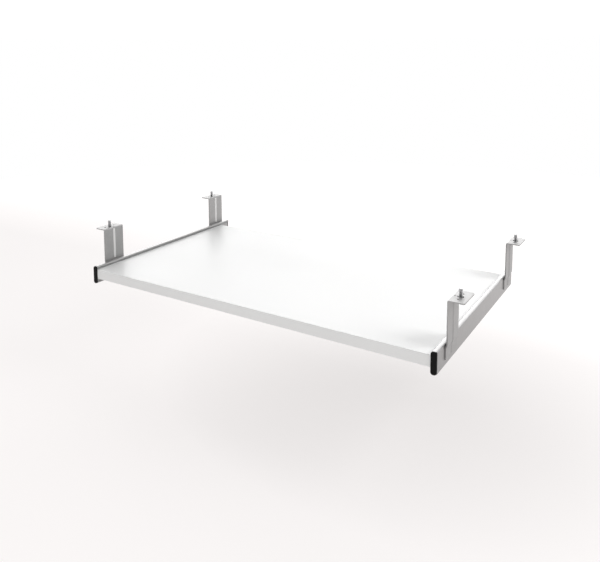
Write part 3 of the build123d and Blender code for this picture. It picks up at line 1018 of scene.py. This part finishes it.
class DRAWER_OT_rivets(bpy.types.Operator):
    """Set the rivets that hold the rails to the bracket feet"""

    bl_idname = "drawer.rivets"
    bl_label = "Bracket rivets"

    def execute(self, context):
        radius = (RIVETS_HIGH.z - RIVETS_LOW.z) / 2
        z = (RIVETS_HIGH.z + RIVETS_LOW.z) / 2
        proud, dish = 0.08 * MM, 0.05 * MM
        rivets = []
        for y in (RIVETS_LOW.y + radius, RIVETS_HIGH.y - radius):
            head = rod("rivet", radius, (RIVETS_HIGH.x - 0.3 * MM, y, z), (RIVETS_HIGH.x + proud, y, z))
            edit(head)
            round_rim(head, 0, RIVETS_HIGH.x + proud, 0.2 * MM, 4)
            pick(head, "FACE", lambda f: f.normal.x > 0.99)
            bpy.ops.mesh.inset(thickness=0.4 * radius)
            bpy.ops.transform.translate(value=(-dish, 0, 0))
            deselect()
            rivets.append(head)
        piece = join(rivets)
        four_corners(piece, "PLACE_SIDE_bracket_rivets", "desk_frame", bracket_finish())
        return {"FINISHED"}


class DRAWER_OT_tray_screws(bpy.types.Operator):
    """Turn the pan-head screws between the inner rails and the tray"""

    bl_idname = "drawer.tray_screws"
    bl_label = "Tray screws"

    def execute(self, context):
        s = sizes()
        seat = TRAY_EDGE_X + s.rail_sheet
        top, z = TRAY_SCREWS_HIGH.x, RAIL_MID_Z
        screws = []
        for i in range(3):
            y = FIRST_TRAY_SCREW_Y + i * TRAY_SCREW_PITCH
            head = rod("tray_screw", TRAY_SCREW_RADIUS, (seat - 0.1 * MM, y, z), (top, y, z))
            edit(head)
            round_rim(head, 0, top, 1.3 * MM, 6)
            deselect()
            recess = cross_tool("recess", (top, y, z), 0, span=4.2 * MM, width=1.0 * MM, depth=1.3 * MM)
            combine(head, recess, "DIFFERENCE")
            shank = rod("shank", 1.7 * MM, (TRAY_SCREWS_LOW.x, y, z), (seat, y, z), 24)
            combine(head, shank, "UNION")
            screws.append(head)
        piece = join(screws)
        both_sides(piece, "SIDE_tray_screws", "tray", screw_finish())
        return {"FINISHED"}


class DRAWER_OT_buffers(bpy.types.Operator):
    """Mould the two rubber buffers at the back of the outer rails"""

    bl_idname = "drawer.buffers"
    bl_label = "Rear buffers"

    def execute(self, context):
        piece = bar("buffer", BUFFER_LOW, BUFFER_HIGH)
        edit(piece)
        pick(piece, "FACE", lambda f: f.normal.y < -0.99)
        bpy.ops.mesh.inset(thickness=1.6 * MM)
        bpy.ops.transform.translate(value=(0, 0.1 * MM, 0))
        bpy.ops.mesh.inset(thickness=0.5 * MM, depth=-1.2 * MM)
        deselect()
        break_edges(piece, 0.5 * MM, 3)
        both_sides(piece, "SIDE_rear_buffer", "desk_frame", rubber_finish())
        return {"FINISHED"}


class DRAWER_OT_studio(bpy.types.Operator):
    """Lay the floor, set the lights and place the camera"""

    bl_idname = "drawer.studio"
    bl_label = "Studio"

    def floor(self, st):
        deselect()
        bpy.ops.mesh.primitive_circle_add(
            vertices=128, radius=st.floor_radius, fill_type="NGON", location=(0, 0, -st.floor_drop)
        )
        floor = bpy.context.object
        floor.name = "studio_floor"
        bake_place(floor)
        floor.data.materials.append(floor_finish())

    def lamp(self, name, place, width, depth, power):
        """A soft box aimed at the object."""
        target = (0.0, 0.0, -0.1)
        light = bpy.data.lights.new(name, "AREA")
        light.shape = "RECTANGLE"
        light.size = width
        light.size_y = depth
        light.energy = power
        lamp = bpy.data.objects.new(name, light)
        bpy.context.scene.collection.objects.link(lamp)
        lamp.location = place
        lamp.rotation_mode = "QUATERNION"
        lamp.rotation_quaternion = (Vector(target) - Vector(place)).to_track_quat("-Z", "Y")

    def backdrop(self, st):
        """A studio that is bright low down all round, bright behind the object, with a wall of light
        above that, and dimmer high up behind the camera."""
        world = bpy.data.worlds.new("studio")
        bpy.context.scene.world = world
        world.use_nodes = True
        nodes = Nodes(world.node_tree, "Generated")
        output = nodes.new("ShaderNodeOutputWorld")
        background = nodes.new("ShaderNodeBackground")
        background.inputs["Color"].default_value = (1, 1, 1, 1)

        def along(direction):
            node = nodes.new("ShaderNodeVectorMath")
            node.operation = "DOT_PRODUCT"
            node.inputs[1].default_value = direction
            nodes.link(nodes.place, node.inputs[0])
            return node.outputs["Value"]

        def ramp(value, start, end, low, high):
            return nodes.spread(value, low, high, start, end, interpolation="SMOOTHSTEP")

        turn = st.camera_turn[2]
        ahead, height = along((-math.sin(turn), math.cos(turn), 0.0)), along((0, 0, 1))
        wall_foot = ramp(height, 0.02, 0.12, 0.0, st.sky_band)
        wall_top = ramp(height, 0.65, 0.85, 1.0, 0.0)
        wall = nodes.math("MULTIPLY", wall_foot, wall_top)
        room = ramp(ahead, -0.2, 0.8, st.sky_dim, st.sky_bright)
        low = ramp(height, 0.1, 0.22, st.sky_bright, 0.0)
        light = nodes.math("MULTIPLY_ADD", wall, ramp(ahead, 0.3, 0.9, 0.0, 1.0),
                           nodes.math("MAXIMUM", room, low))
        nodes.link(light, background.inputs["Strength"])
        nodes.link(background.outputs["Background"], output.inputs["Surface"])

    def camera(self, st):
        data = bpy.data.cameras.new("camera")
        camera = bpy.data.objects.new("camera", data)
        bpy.context.scene.collection.objects.link(camera)
        camera.location = st.camera_place
        camera.rotation_euler = st.camera_turn
        data.sensor_width = 36.0
        data.lens = st.lens
        data.shift_x, data.shift_y = st.shift
        bpy.context.scene.camera = camera

    def execute(self, context):
        st = studio()
        self.floor(st)
        self.backdrop(st)
        self.lamp("side", (1.7, 0.35, 1.15), width=1.0, depth=1.0, power=st.side_power)
        self.lamp("front", (0.25, -2.0, 0.05), width=1.2, depth=0.6, power=st.front_power)
        self.camera(st)
        context.scene.view_settings.view_transform = "Standard"
        return {"FINISHED"}


OPERATORS = (
    DRAWER_OT_board,
    DRAWER_OT_brackets,
    DRAWER_OT_outer_rails,
    DRAWER_OT_inner_rails,
    DRAWER_OT_ball_cages,
    DRAWER_OT_end_caps,
    DRAWER_OT_desk_screws,
    DRAWER_OT_rivets,
    DRAWER_OT_tray_screws,
    DRAWER_OT_buffers,
    DRAWER_OT_studio,
)
GROUPS = {
    "drawer_sizes": DrawerSizes,
    "drawer_colours": DrawerColours,
    "drawer_studio": DrawerStudio,
}


class DRAWER_PT_panel(bpy.types.Panel):
    """Buttons and settings for the drawer"""

    bl_idname = "DRAWER_PT_panel"
    bl_label = "Under Desk Drawer"
    bl_space_type = "VIEW_3D"
    bl_region_type = "UI"
    bl_category = "Drawer"

    def draw(self, context):
        for operator in OPERATORS:
            self.layout.operator(operator.bl_idname)
        for name, group in GROUPS.items():
            box = self.layout.box()
            for field in group.__annotations__:
                box.prop(getattr(context.scene, name), field)


def register():
    for group in GROUPS.values():
        bpy.utils.register_class(group)
    for operator in OPERATORS:
        bpy.utils.register_class(operator)
    bpy.utils.register_class(DRAWER_PT_panel)
    for name, group in GROUPS.items():
        setattr(bpy.types.Scene, name, bpy.props.PointerProperty(type=group))


def unregister():
    for name in GROUPS:
        delattr(bpy.types.Scene, name)
    bpy.utils.unregister_class(DRAWER_PT_panel)
    for cls in (*reversed(OPERATORS), *reversed(GROUPS.values())):
        bpy.utils.unregister_class(cls)


def main():
    """Builds every piece and the studio."""
    register()
    bpy.ops.drawer.studio()
    bpy.ops.drawer.board()
    bpy.ops.drawer.brackets()
    bpy.ops.drawer.outer_rails()
    bpy.ops.drawer.inner_rails()
    bpy.ops.drawer.ball_cages()
    bpy.ops.drawer.end_caps()
    bpy.ops.drawer.desk_screws()
    bpy.ops.drawer.rivets()
    bpy.ops.drawer.tray_screws()
    bpy.ops.drawer.buffers()


if __name__ == "__main__":
    main()
